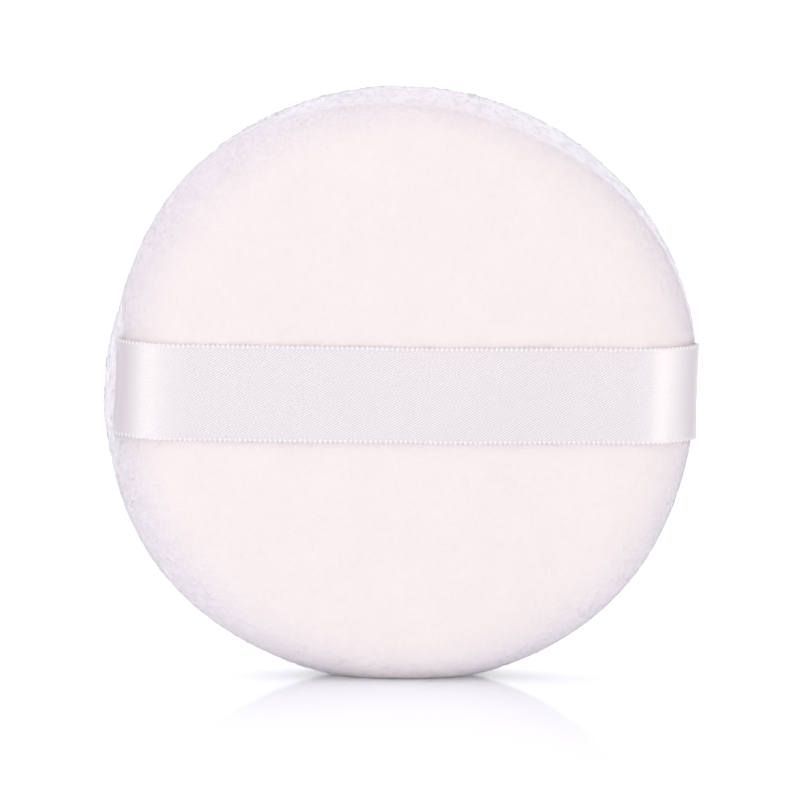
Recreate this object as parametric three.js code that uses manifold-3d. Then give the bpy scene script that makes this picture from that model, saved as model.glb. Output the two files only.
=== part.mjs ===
// Powder puff.
// Two velour covers are sewn together face to face, turned right side out over a foam disc and
// closed by hand. A satin ribbon crosses the flatter cover, with its two ends caught in the seam,
// so that fingers slide under it. The puff stands on its rim with the ribbon towards -Y.
// Millimetres, +Z up, origin on the ground under the middle of the puff.

import * as THREE from 'three';
import { mergeGeometries, mergeVertices } from 'three/addons/utils/BufferGeometryUtils.js';
import Module from 'manifold-3d';

// Overall form
const puffDiameter = 100; // plush side at its widest, over the tips of the pile
const seamInset = 2.6; // from the widest line of the plush side in to the seam line
const backOverhang = 1; // from the seam line out to the widest line of the ribbon side
const backShoulder = 6.5; // round of the ribbon side's edge
const backCrown = 2.2; // rise of the ribbon side's face above its edge
const plushWall = 3; // straight side of the plush side
const plushShoulder = 8; // round of the plush side's edge
const plushCrown = 2.4; // rise of the plush face above its edge
const footDepth = 0.5; // how far the rim is pressed flat where the puff stands

// Fabric, ribbon and sewing
const coverThickness = 1.2; // velour with its pile
const seamAllowance = 5; // hem turned in beyond the seam line
const ribbonWidth = 16; // five-eighths inch satin ribbon
const ribbonThickness = 0.4;
const threadDiameter = 0.5;
const stitchLength = 6;
const stitchInset = 1.2; // from the seam line in to the row of stitches
const turningGap = 42; // length of seam left open for turning, closed by hand
const clearance = 0.3; // between pieces that touch

// Fineness of the round surfaces
const rimFacets = 48;
const rollSteps = 3;
const shoulderSteps = 4;
const crownSteps = 3;
const turnSteps = 4;
const threadSides = 5;

// Sizes that follow from those
const widestRadius = puffDiameter / 2;
const seamRadius = widestRadius - seamInset;
const hemRadius = seamRadius - seamAllowance;
const stitchRadius = seamRadius - stitchInset;
const halfGap = clearance / 2;
const quarterTurn = Math.PI / 2;

const backSide = {
  facing: -1,
  widest: seamRadius + backOverhang,
  roll: backOverhang,
  wall: 0,
  shoulder: backShoulder,
  crown: backCrown,
};
const plushSide = {
  facing: 1,
  widest: widestRadius,
  roll: seamInset,
  wall: plushWall,
  shoulder: plushShoulder,
  crown: plushCrown,
};

const wasm = await Module();
wasm.setup();

// A closed surface as a solid for joining and cutting, whichever way its faces were wound.
function toSolid(geometry) {
  const bare = new THREE.BufferGeometry();
  bare.setAttribute('position', geometry.getAttribute('position'));
  bare.setIndex(geometry.getIndex());
  const merged = mergeVertices(bare, 1e-4);
  const points = merged.getAttribute('position');
  const index = merged.getIndex().array;
  const triangles = [];
  const [a, b, c] = [new THREE.Vector3(), new THREE.Vector3(), new THREE.Vector3()];
  let sixVolumes = 0;
  for (let i = 0; i < index.length; i += 3) {
    const [p, q, r] = index.subarray(i, i + 3);
    if (p === q || q === r || r === p) continue;
    a.fromBufferAttribute(points, p);
    b.fromBufferAttribute(points, q);
    c.fromBufferAttribute(points, r);
    sixVolumes += a.dot(b.cross(c));
    triangles.push([p, q, r]);
  }
  const outward = sixVolumes > 0 ? triangles : triangles.map(([p, q, r]) => [p, r, q]);
  return new wasm.Manifold(new wasm.Mesh({
    numProp: 3,
    vertProperties: Float32Array.from(points.array),
    triVerts: Uint32Array.from(outward.flat()),
  }));
}

function toGeometry(solid) {
  const mesh = solid.getMesh();
  const geometry = new THREE.BufferGeometry();
  geometry.setAttribute('position', new THREE.BufferAttribute(mesh.vertProperties, 3));
  geometry.setIndex(new THREE.BufferAttribute(mesh.triVerts, 1));
  geometry.computeVertexNormals();
  return geometry;
}

// A profile of (radius, y) points turned about the puff's own axis.
function turned(profile) {
  return toSolid(new THREE.LatheGeometry(profile, rimFacets));
}

function block(width, depth, height, x, y, z) {
  return toSolid(new THREE.BoxGeometry(width, depth, height).translate(x, y, z));
}

// Points of an arc. The angle is 0 straight out from the axis and a quarter turn at full depth.
function arc(centreRadius, centreDepth, radius, from, to, steps) {
  return Array.from({ length: steps + 1 }, (_, i) => {
    const angle = from + (to - from) * i / steps;
    return new THREE.Vector2(
      centreRadius + radius * Math.cos(angle),
      centreDepth + radius * Math.sin(angle),
    );
  });
}

// One side's profile from a given depth past the seam to the middle of its face: straight wall,
// round shoulder and wide crown, each tangent to the next, at an inset under the outer surface.
function dome(side, inset, fromDepth) {
  const shoulderRadius = side.widest - side.shoulder;
  const shoulderDepth = side.roll + side.wall;
  const crownRadius = (shoulderRadius ** 2 + side.crown ** 2) / (2 * side.crown) + side.shoulder;
  const crownDepth = shoulderDepth + side.shoulder + side.crown - crownRadius;
  const join = Math.atan2(shoulderDepth - crownDepth, shoulderRadius);
  const round = side.shoulder - inset;
  const start = Math.asin(Math.max(0, fromDepth - shoulderDepth) / round);
  const wall = fromDepth < shoulderDepth ? [new THREE.Vector2(side.widest - inset, fromDepth)] : [];
  const shoulder = arc(shoulderRadius, shoulderDepth, round, start, join, shoulderSteps);
  const crown = arc(0, crownDepth, crownRadius - inset, join, quarterTurn, crownSteps).slice(1);
  crown.at(-1).x = 0;
  return [...wall, ...shoulder, ...crown];
}

// Depths along one side, measured from its half of the seam, placed on the puff's axis.
function placed(side, points) {
  return points.map((p) => new THREE.Vector2(p.x, side.facing * (halfGap + p.y)));
}

function depthOf(side) {
  return side.roll + side.wall + side.shoulder + side.crown;
}

// A cover: fabric of one thickness that rolls in at the seam and ends in a flat hem.
function coverShell(side) {
  const hemEdge = (depth) => new THREE.Vector2(hemRadius, depth);
  const rollArc = (radius) => arc(seamRadius, side.roll, radius, -quarterTurn, 0, rollSteps);
  const outer = [
    hemEdge(0),
    ...rollArc(side.roll).slice(0, -1),
    ...dome(side, 0, side.roll),
  ];
  const innerRoll = side.roll - coverThickness;
  const inner = innerRoll > 0
    ? [...rollArc(innerRoll).slice(0, -1), ...dome(side, coverThickness, side.roll)]
    : dome(side, coverThickness, coverThickness);
  return turned(placed(side, [...inner.reverse(), hemEdge(coverThickness), ...outer]));
}

// Needle holes, evenly spaced round the row of stitches, through both hems.
const stitchCount = Math.round(2 * Math.PI * stitchRadius / stitchLength);
const stitchAngle = 2 * Math.PI / stitchCount;
const hemFace = halfGap + coverThickness;
const holeWidth = threadDiameter + 2 * clearance;
const needleHoles = toSolid(mergeGeometries(
  Array.from({ length: stitchCount }, (_, i) => new THREE.BoxGeometry(
    holeWidth,
    2 * (hemFace + clearance),
    holeWidth,
  ).translate(0, 0, stitchRadius).rotateY(i * stitchAngle)),
));

// The ribbon's end: flat in the seam, then turned over the ribbon side's edge.
const turnRadius = backOverhang + clearance + ribbonThickness / 2;
function ribbonEndRing(spare) {
  const half = ribbonThickness / 2 + spare;
  const turn = (radius) => arc(seamRadius, -turnRadius, radius, quarterTurn, 0, turnSteps);
  const cutEnd = (y) => new THREE.Vector2(hemRadius - spare, y);
  const profile = [
    cutEnd(half),
    ...turn(turnRadius + half),
    ...turn(turnRadius - half).reverse(),
    cutEnd(-half),
    cutEnd(half),
  ];
  return turned(profile);
}

// The stretch of a turned shape that is as wide as the ribbon, right across or at one end.
const beyondPuff = puffDiameter;
function ribbonStrip(shape, spare, end = 0) {
  const width = ribbonWidth + 2 * spare;
  return shape.intersect(
    block(2 * beyondPuff, 2 * beyondPuff, width, end * beyondPuff, 0, 0),
  );
}

// The free run of the ribbon, from one turned end over the crown to the other.
function strapShell() {
  const fromDepth = turnRadius + clearance - halfGap;
  const outer = dome(backSide, -clearance - ribbonThickness, fromDepth);
  const inner = dome(backSide, -clearance, fromDepth);
  return turned(placed(backSide, [...inner.reverse(), ...outer]));
}

// The thread, woven through the needle holes from one hem's face to the other's, as one tube.
const threadRun = hemFace + clearance + threadDiameter / 2;
function stitching(firstHole, lastHole) {
  const bend = threadDiameter;
  const tail = stitchLength / 4;
  const path = [];
  const add = (along, y) => path.push(new THREE.Vector2(along, y));
  let face = 1;
  add(firstHole * stitchLength - tail, threadRun);
  for (let hole = firstHole; hole <= lastHole; hole += 1) {
    const along = hole * stitchLength;
    add(along - bend, face * threadRun);
    add(along, face * (threadRun - bend));
    face = -face;
    add(along, face * (threadRun - bend));
    add(along + bend, face * threadRun);
  }
  add(lastHole * stitchLength + tail, face * threadRun);

  const positions = [];
  path.forEach((point, i) => {
    const before = path[Math.max(i - 1, 0)];
    const after = path[Math.min(i + 1, path.length - 1)];
    const heading = after.clone().sub(before).normalize();
    const angle = point.x / stitchLength * stitchAngle;
    const outward = new THREE.Vector3(Math.sin(angle), 0, Math.cos(angle));
    const round = new THREE.Vector3(Math.cos(angle), 0, -Math.sin(angle));
    const across = round.multiplyScalar(-heading.y).add(new THREE.Vector3(0, heading.x, 0));
    const centre = outward.clone().multiplyScalar(stitchRadius).setY(point.y);
    for (let side = 0; side < threadSides; side += 1) {
      const turn = 2 * Math.PI * side / threadSides;
      positions.push(...centre.clone()
        .addScaledVector(outward, threadDiameter / 2 * Math.cos(turn))
        .addScaledVector(across, threadDiameter / 2 * Math.sin(turn))
        .toArray());
    }
  });
  const index = [];
  const corner = (ring, side) => ring * threadSides + side % threadSides;
  for (let ring = 0; ring < path.length - 1; ring += 1) {
    for (let side = 0; side < threadSides; side += 1) {
      const [a, b] = [corner(ring, side), corner(ring, side + 1)];
      const [c, d] = [corner(ring + 1, side), corner(ring + 1, side + 1)];
      index.push(a, b, d, a, d, c);
    }
  }
  const last = path.length - 1;
  for (let side = 1; side < threadSides - 1; side += 1) {
    index.push(corner(0, 0), corner(0, side + 1), corner(0, side));
    index.push(corner(last, 0), corner(last, side), corner(last, side + 1));
  }
  const geometry = new THREE.BufferGeometry();
  geometry.setAttribute('position', new THREE.Float32BufferAttribute(positions, 3));
  geometry.setIndex(index);
  return toSolid(geometry);
}

// The foam disc: fills both covers, with a groove round its edge for the hems and their stitches.
function foamDisc() {
  const grooveRadius = hemRadius - clearance;
  const grooveHalf = threadRun + threadDiameter / 2 + clearance;
  const half = (side) => {
    const lip = Math.max(grooveHalf - halfGap, side.roll);
    const groove = new THREE.Vector2(grooveRadius, lip);
    return placed(side, [groove, ...dome(side, coverThickness + clearance, lip)]);
  };
  return turned([...half(backSide).reverse(), ...half(plushSide)]);
}

// Under the ground: what the rim loses where it is pressed flat.
const groundHeight = footDepth - widestRadius;
const underGround = block(
  2 * beyondPuff, 2 * beyondPuff, beyondPuff, 0, 0, groundHeight - beyondPuff / 2,
);

const ribbonPassage = ribbonStrip(ribbonEndRing(clearance), clearance);
function sewnCover(side) {
  return coverShell(side).subtract(ribbonPassage).subtract(needleHoles).subtract(underGround);
}

const ribbonEnds = ribbonEndRing(0).subtract(needleHoles);
const closingStitches = Math.round(turningGap / stitchLength);
const halfClosing = Math.floor(closingStitches / 2);

const colours = {
  velourBack: { color: 0xfbf0f2, roughness: 0.95, metalness: 0 },
  velourPlush: { color: 0xf7f0f4, roughness: 1, metalness: 0 },
  satin: { color: 0xeee8ea, roughness: 0.4, metalness: 0 },
  foam: { color: 0xfaf4e6, roughness: 1, metalness: 0 },
  cotton: { color: 0xf6f0f1, roughness: 0.85, metalness: 0 },
};

const puff = new THREE.Group();
function addPiece(name, solid, colour) {
  const mesh = new THREE.Mesh(toGeometry(solid), new THREE.MeshStandardMaterial(colour));
  mesh.name = name;
  puff.add(mesh);
}

addPiece('back_cover', sewnCover(backSide), colours.velourBack);
addPiece('plush_cover', sewnCover(plushSide), colours.velourPlush);
addPiece('foam_core', foamDisc(), colours.foam);
addPiece('ribbon_strap', ribbonStrip(strapShell(), 0), colours.satin);
addPiece('ribbon_end_left', ribbonStrip(ribbonEnds, 0, -1), colours.satin);
addPiece('ribbon_end_right', ribbonStrip(ribbonEnds, 0, 1), colours.satin);
addPiece('seam_thread', stitching(halfClosing + 1, stitchCount - halfClosing - 1), colours.cotton);
addPiece('closing_stitch', stitching(-halfClosing, halfClosing), colours.cotton);

const backReach = halfGap + depthOf(backSide) + clearance + ribbonThickness;
const plushReach = halfGap + depthOf(plushSide);
puff.position.set(0, (backReach - plushReach) / 2, -groundHeight);

const powderPuff = new THREE.Group();
powderPuff.add(puff);

export default powderPuff;
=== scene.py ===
# %% [markdown]
# # A velour powder puff with a satin finger ribbon
# The puff is two rounds of short velour sewn face to face, turned out over a foam disc. A satin
# ribbon crosses the flatter side and goes into the seam at both ends. This lesson dresses the
# packed construction: every new piece is a surface worked out with numpy, sized from the frame.

# %% Load the frame
import math

import bpy
import numpy as np
from mathutils import Matrix, Vector


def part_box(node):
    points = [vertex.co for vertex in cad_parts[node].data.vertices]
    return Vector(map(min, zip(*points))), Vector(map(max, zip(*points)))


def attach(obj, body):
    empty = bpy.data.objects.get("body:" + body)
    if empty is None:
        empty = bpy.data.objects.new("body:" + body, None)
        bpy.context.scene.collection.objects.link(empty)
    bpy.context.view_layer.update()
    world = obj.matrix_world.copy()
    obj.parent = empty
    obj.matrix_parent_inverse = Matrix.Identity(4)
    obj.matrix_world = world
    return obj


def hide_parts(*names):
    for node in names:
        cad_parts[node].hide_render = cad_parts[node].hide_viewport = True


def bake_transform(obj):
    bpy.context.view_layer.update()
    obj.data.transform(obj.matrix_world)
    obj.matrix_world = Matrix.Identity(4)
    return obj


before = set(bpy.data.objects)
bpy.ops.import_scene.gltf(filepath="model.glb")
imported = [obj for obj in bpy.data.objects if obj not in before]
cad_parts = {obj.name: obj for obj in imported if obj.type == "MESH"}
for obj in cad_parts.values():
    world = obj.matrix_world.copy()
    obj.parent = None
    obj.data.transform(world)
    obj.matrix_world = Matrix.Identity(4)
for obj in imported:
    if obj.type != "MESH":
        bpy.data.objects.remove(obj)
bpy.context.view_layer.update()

MM = 0.001

# %% [markdown]
# ## Measure the construction
# The puff's axis runs along Y, through the middle of its round sides. All that follows is placed
# from that axis, the seam plane and the widest line of each side, so these are read off the packed
# boxes once. The ribbon side has the sign -1 along Y, the plush side 1.

# %% Sizes read from the frame
plush_low, plush_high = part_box("plush_cover")
back_low, back_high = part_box("back_cover")
strap_low, strap_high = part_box("ribbon_strap")

PLUSH_WIDEST = (plush_high.x - plush_low.x) / 2
BACK_WIDEST = (back_high.z - back_low.z) / 2
SEAM_Y = (plush_low.y + back_high.y) / 2
CENTRE = np.array([0.0, SEAM_Y, plush_high.z - PLUSH_WIDEST])
PLUSH_DEPTH = plush_high.y - SEAM_Y
BACK_DEPTH = SEAM_Y - back_low.y
RIBBON_WIDTH = strap_high.z - strap_low.z
RIBBON_SIDE, PLUSH_SIDE = -1, 1
print("widest", PLUSH_WIDEST, BACK_WIDEST)
print("depths", PLUSH_DEPTH, BACK_DEPTH, "ribbon", RIBBON_WIDTH)

# %% [markdown]
# ## Set the camera first
# The photograph is taken from a little above and to the left, with a long lens. The camera is put
# on a sphere round the object and turned to face it. Its lens follows from how wide the frame is at
# the puff, so the framing holds at any distance.

# %% Camera
VIEW_TURN = math.radians(-4.5)
VIEW_HEIGHT = math.radians(8.0)
VIEW_DISTANCE = 0.8
FRAME_WIDTH = 135.0 * MM
SENSOR = 36.0
AIM = Vector((-0.9 * MM, 0.0, 47.0 * MM))
CAMERA_ROLL = math.radians(1.1)


def heading(turn, height):
    """A unit direction at a turn from the viewer's side, positive to the right, and at a height
    above the horizon, both in radians."""
    level = math.cos(height)
    return Vector((math.sin(turn) * level, -math.cos(turn) * level, math.sin(height)))


camera = bpy.data.objects.new("camera", bpy.data.cameras.new("camera"))
bpy.context.scene.collection.objects.link(camera)
to_camera = heading(VIEW_TURN, VIEW_HEIGHT)
camera.location = AIM + VIEW_DISTANCE * to_camera
upright = (-to_camera).to_track_quat("-Z", "Y").to_matrix()
camera.rotation_euler = (upright @ Matrix.Rotation(CAMERA_ROLL, 3, "Z")).to_euler()
camera.data.sensor_width = SENSOR
camera.data.lens = SENSOR * VIEW_DISTANCE / FRAME_WIDTH
bpy.context.scene.camera = camera
print("lens", round(camera.data.lens, 1), "mm")

# %% [markdown]
# ## Helpers for surfaces
# A few helpers carry the whole model. One puts arrays into a mesh. One folds a square grid onto a
# disc, which keeps the cells even and has no pinched pole in the middle of the face. One sums
# seeded waves into soft random relief, so that no texture file is needed.

# %% Mesh and grid helpers
def add_mesh(name, points, *face_arrays):
    """Makes a smooth-shaded mesh object from an (n, 3) array of points and arrays of faces."""
    mesh = bpy.data.meshes.new(name)
    mesh.vertices.add(len(points))
    mesh.vertices.foreach_set("co", np.ascontiguousarray(points, np.float32).ravel())
    corners = np.concatenate([f.ravel() for f in face_arrays])
    sides = np.concatenate([np.full(len(f), f.shape[1]) for f in face_arrays])
    mesh.loops.add(len(corners))
    mesh.loops.foreach_set("vertex_index", corners.astype(np.int32))
    mesh.polygons.add(len(sides))
    mesh.polygons.foreach_set("loop_start", (np.cumsum(sides) - sides).astype(np.int32))
    mesh.update(calc_edges=True)
    mesh.shade_smooth()
    made = bpy.data.objects.new(name, mesh)
    bpy.context.scene.collection.objects.link(made)
    print(name, len(points), "points", int((sides - 2).sum()), "triangles")
    return made


def grid_quads(rows, columns, first=0, wrap=False):
    """Corners of the quads of a grid stored row by row. With wrap, the last column joins the
    first."""
    row = np.arange(rows - 1)[:, None] * columns
    column = np.arange(columns if wrap else columns - 1)[None, :]
    after = (column + 1) % columns
    quads = np.stack([row + column, row + columns + column, row + columns + after, row + after], -1)
    return quads.reshape(-1, 4) + first


def disc_grid(cells):
    """A square grid folded onto a disc: each ring of the square becomes a ring of the disc.
    Returns how far out each point is, 0 in the middle and 1 on the edge, and its angle."""
    line = np.linspace(-1, 1, cells + 1)
    a, b = (g.ravel() for g in np.meshgrid(line, line, indexing="ij"))
    wide = np.abs(a) > np.abs(b)
    ring = np.where(wide, a, b)
    slant = np.pi / 4 * np.where(wide, b, a) / np.where(ring == 0, 1, ring)
    angle = np.where(wide, slant, np.pi / 2 - slant) + np.where(ring < 0, np.pi, 0)
    return np.abs(ring), angle


print("a disc of 4 by 4 cells has", len(disc_grid(4)[0]), "points")

# %% Relief and blending helpers
RELIEF_WAVES = 48
RELIEF_SPREAD = (0.7, 1.4)


def unit(vectors):
    """Vectors of length 1 along the given ones."""
    return vectors / np.linalg.norm(vectors, axis=-1, keepdims=True)


def soft_relief(points, wavelength, seed):
    """Random relief: the sum of plane waves of about one wavelength, with seeded headings and
    phases, at every point at once. It is 0 on average with a spread of about 1."""
    rng = np.random.default_rng(seed)
    direction = unit(rng.normal(size=(RELIEF_WAVES, 3)))
    length = wavelength * rng.uniform(*RELIEF_SPREAD, RELIEF_WAVES)
    phase = rng.uniform(0, 2 * np.pi, RELIEF_WAVES)
    waves = np.sin(points @ (2 * np.pi * direction / length[:, None]).T + phase)
    return waves.sum(1) * (2 / RELIEF_WAVES) ** 0.5


def ease(value, low, high):
    """0 below low, 1 above high, and a smooth step between them."""
    t = np.clip((value - low) / (high - low), 0, 1)
    return t * t * (3 - 2 * t)


def way_along(x, y):
    """How far each point of a line is from its first one, by the sum of the steps between."""
    return np.concatenate([[0], np.cumsum(np.hypot(np.diff(x), np.diff(y)))])


print("eased quarters:", ease(np.linspace(0, 1, 5), 0, 1).round(2))

# %% [markdown]
# ## The section of a puff
# Cut through its axis, each side of the puff is a wide crown, a round shoulder, perhaps a straight
# wall, and on the wider side a roll that turns in to the seam. It could be drawn as a spline by
# eye. Here a parabola and two arcs give it, so its depth and width are exact. Where the two sides
# meet, their arcs stop short of a quarter turn, so the seam lies in an open, shallow groove.

# %% Section of one side
BACK_SHOULDER = (10.5 * MM, 6.9 * MM)
PLUSH_SHOULDER = (10.0 * MM, 8.0 * MM)
PLUSH_WALL = 3.0 * MM
SHOULDER_TURN = math.radians(76)
ROLL_TURN = math.radians(58)
CROWN_STEPS = 160
SHOULDER_STEPS = 120
ROLL_STEPS = 40


def arc(turn, width, height, steps):
    """An arc that starts level and ends at the given turn, stretched to a width and a height.
    Returns how far out and how far down each point is."""
    t = np.linspace(0, turn, steps)
    return width * np.sin(t) / np.sin(turn), height * (1 - np.cos(t)) / (1 - np.cos(turn))


def side_section(widest, depth, shoulder, wall):
    """Radius, depth and outward normal along a side, from the middle of its face, share 0, to the
    seam, share 1. The crown is a parabola over the whole width, and the shoulder takes an arc of
    the given width and height off it. On a side wider than the seam the arc is a quarter turn,
    and a wall and a smaller arc lead in."""
    width, height = shoulder
    roll = widest - BACK_WIDEST
    low = roll + wall
    crown = depth - low - height
    start = widest - width
    out, down = arc(np.pi / 2 if roll else SHOULDER_TURN, width, height, SHOULDER_STEPS)
    radius = np.concatenate([np.linspace(0, start, CROWN_STEPS)[:-1], start + out])
    rise = low + height + crown * (1 - (radius / widest) ** 2)
    rise[-len(down):] -= down
    if roll:
        back_in, drop = arc(ROLL_TURN, roll, roll, ROLL_STEPS)
        radius = np.concatenate([radius, widest - drop])
        rise = np.concatenate([rise, roll - back_in])
    length = way_along(radius, rise)
    tilt = np.unwrap(np.arctan2(np.gradient(radius, length), -np.gradient(rise, length)))

    def at(share):
        """Radius, depth and normal at shares of the length, by straight lines between points."""
        where = np.asarray(share) * length[-1]
        r, d, lean = (np.interp(where, length, line) for line in (radius, rise, tilt))
        return r, d, np.cos(lean), np.sin(lean)

    return at


back_section = side_section(BACK_WIDEST, BACK_DEPTH, BACK_SHOULDER, 0.0)
plush_section = side_section(PLUSH_WIDEST, PLUSH_DEPTH, PLUSH_SHOULDER, PLUSH_WALL)
for name, section in (("back", back_section), ("plush", plush_section)):
    print(name, "depth at the middle, half way and the seam:", section([0, 0.5, 1])[1].round(4))

# %% [markdown]
# ## Settling
# A stuffed round that stands on its rim isn't a perfect circle. Its lower corners spread, its foot
# goes flat, its ribbon side hangs a little lower than its plush side, and its faces have slow
# hollows. All the puff's pieces pass through one function, so covers, pile and ribbon stay
# together. Each hump is an angle and a width in degrees, and a size in millimetres.

# %% Settling function
WHOLE_HUMPS = (
    (216, 38, 1.0), (305, 28, 0.8), (121, 26, 0.7),
    (160, 34, 1.3), (16, 18, 0.6), (90, 14, 0.35),
)
RIBBON_SIDE_HUMPS = (
    (131, 28, 3.1), (36, 22, 1.2), (212, 28, 1.4), (322, 26, 0.7),
)
PLUSH_SIDE_HUMPS = (
    (155, 22, -2.0), (5, 26, -1.2), (222, 30, -0.7), (318, 30, -0.9),
)
RIBBON_PULL = 1.7 * MM
PULL_BAND = (0.52, 0.95)
RIBBON_SIDE_DROP = 1.6 * MM
SIDES_PART = (-0.2 * MM, 1.2 * MM)
OVERHANG = 2.25 * MM
OVERHANG_SOFTNESS = 0.5 * MM
HOLLOWS = 0.2 * MM
HOLLOW_SIZE = 34 * MM
FOOT_SOFTNESS = 0.12 * MM


def humps(angle, table):
    """The sum of bell-shaped humps at the named angles, wrapping round the circle."""
    away = [(np.degrees(angle) - at + 180) % 360 - 180 for at, _, _ in table]
    return sum(size * MM * np.exp(-(gap / width) ** 2) for gap, (_, width, size) in zip(away, table))


def under_ribbon(points, band):
    """1 under the ribbon and 0 well clear of it. The band, in ribbon widths from the ribbon's
    middle line, is where the one turns to the other."""
    inner, outer = band
    return 1 - ease(np.abs(points[:, 2] - CENTRE[2]), inner * RIBBON_WIDTH, outer * RIBBON_WIDTH)


def above(value, softness):
    """The value where it is well above 0, and 0 well below, with a soft corner between."""
    return softness * np.logaddexp(0, value / softness)


def settle(points):
    """Moves the rim outward by the humps, more with the square of the radius, the ribbon side's
    rim down by its drop, and in by the pull at the ribbon's left end. The plush side follows where
    the ribbon side stands out past it by more than the overhang. What belongs to one side fades
    across the seam. Slow hollows act along the axis, and what is under the ground lies on it."""
    local = points - CENTRE
    angle = np.arctan2(local[:, 2], local[:, 0])
    plush = ease(local[:, 1], *SIDES_PART)
    ribbon_side = humps(angle, RIBBON_SIDE_HUMPS) - RIBBON_SIDE_DROP * np.sin(angle)
    ribbon_side -= RIBBON_PULL * under_ribbon(points, PULL_BAND) * (local[:, 0] < 0)
    lag = humps(angle, PLUSH_SIDE_HUMPS) - ribbon_side + OVERHANG
    growth = humps(angle, WHOLE_HUMPS) + ribbon_side
    growth = growth + plush * (above(lag, OVERHANG_SOFTNESS) - OVERHANG)
    out = np.hypot(local[:, 0], local[:, 2]) / PLUSH_WIDEST
    spread = growth * out / PLUSH_WIDEST
    moved = points + local * np.stack([spread, 0 * spread, spread], -1)
    moved[:, 1] += HOLLOWS * soft_relief(points, HOLLOW_SIZE, seed=3)
    moved[:, 2] = above(moved[:, 2], FOOT_SOFTNESS)
    return moved


top = CENTRE + [0, 0, PLUSH_WIDEST]
print("the top of the rim settles by", ((settle(top[None])[0] - top) / MM).round(2), "mm")

# %% [markdown]
# ## Plumping
# The covers are sewn a little tight and the foam pushes them out, while the seam and the ribbon
# hold them in: a cloth under pressure. A coarse skin of both sides is simulated, blown up to about
# a metre, where the solver is steadiest. Only the uneven part of its moves is kept, the draw of the
# ribbon and the slack beside it, so the covers keep their sections. A spline carries that to the
# fine covers.

# %% Points of a side
HELD_LIGHTLY = 0.2
HELD_BY_SEAM = (0.93, 1.0)
HELD_BAND = (0.55, 0.9)
ON_SEAM = 1 - 1e-9


def on_axis(radius, angle, depth, facing):
    """Points at a radius and angle round the puff's axis, at a depth on the side it faces."""
    return CENTRE + np.stack([radius * np.cos(angle), facing * depth, radius * np.sin(angle)], -1)


def side_points(section, share, angle, facing):
    """Points of a side's section turned round the axis, and their outward normals."""
    radius, depth, out, up = section(share)
    normal = np.stack([out * np.cos(angle), facing * up, out * np.sin(angle)], -1)
    return on_axis(radius, angle, depth, facing), normal


def held_weight(points, share, facing):
    """How firmly the cloth is held: fully on the seam and under the ribbon, lightly elsewhere."""
    ribbon = under_ribbon(points, HELD_BAND) * (facing == RIBBON_SIDE)
    return np.maximum(ease(share, *HELD_BY_SEAM), np.maximum(HELD_LIGHTLY, ribbon))


crown_middle, _ = side_points(back_section, np.zeros(1), np.zeros(1), RIBBON_SIDE)
print("the middle of the ribbon side is at", crown_middle[0].round(4))

# %% Cloth simulation of a coarse skin
PLUMP_CELLS = 44
PLUMP_SCALE = 10.0
PLUMP_FRAMES = 20
PLUMP_START = 0.9 * MM
PLUMP_PRESSURE = 4.0
PLUMP_SHARE = 0.6
CLOTH_QUALITY = 8
CLOTH_MASS = 0.2
FREE_BAND = (0.9, 1.1)


def run_cloth(skin, held):
    """Puts a skin under pressure, with each point held by its own weight. Returns where its points
    end up, and removes it."""
    group = skin.vertex_groups.new(name="held")
    for level in np.unique(np.round(held, 1)):
        group.add(np.flatnonzero(np.round(held, 1) == level).tolist(), float(level), "REPLACE")
    cloth = skin.modifiers.new("cloth", "CLOTH")
    cloth.settings.quality = CLOTH_QUALITY
    cloth.settings.mass = CLOTH_MASS
    cloth.settings.use_pressure = True
    cloth.settings.uniform_pressure_force = PLUMP_PRESSURE
    cloth.settings.vertex_group_mass = "held"
    cloth.settings.effector_weights.gravity = 0
    cloth.collision_settings.use_collision = False
    cloth.point_cache.frame_end = PLUMP_FRAMES
    for step in range(1, PLUMP_FRAMES + 1):
        bpy.context.scene.frame_set(step)
    made = skin.evaluated_get(bpy.context.evaluated_depsgraph_get()).data
    after = np.empty(3 * len(held), np.float32)
    made.vertices.foreach_get("co", after)
    bpy.data.objects.remove(skin)
    bpy.context.scene.frame_set(1)
    return after.reshape(-1, 3)


def uneven_swell(moves, normal, share, free):
    """How far each grid point moved out above the middle of its ring, which is taken from the
    ring's free points. A ring that has none, in the middle of the ribbon, takes the middle of the
    next ring out."""
    swell = (moves * normal).sum(1)
    ring = np.round(share * PLUMP_CELLS / 2).astype(int)
    middles = np.zeros(ring.max() + 1)
    for level in range(ring.max(), -1, -1):
        chosen = swell[(ring == level) & free]
        middles[level] = np.median(chosen) if len(chosen) else middles[level + 1]
    print("plumped by", np.round(np.percentile(swell, [5, 50, 95]) / MM, 2), "mm")
    return PLUMP_SHARE * (swell - middles[ring])


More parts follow.
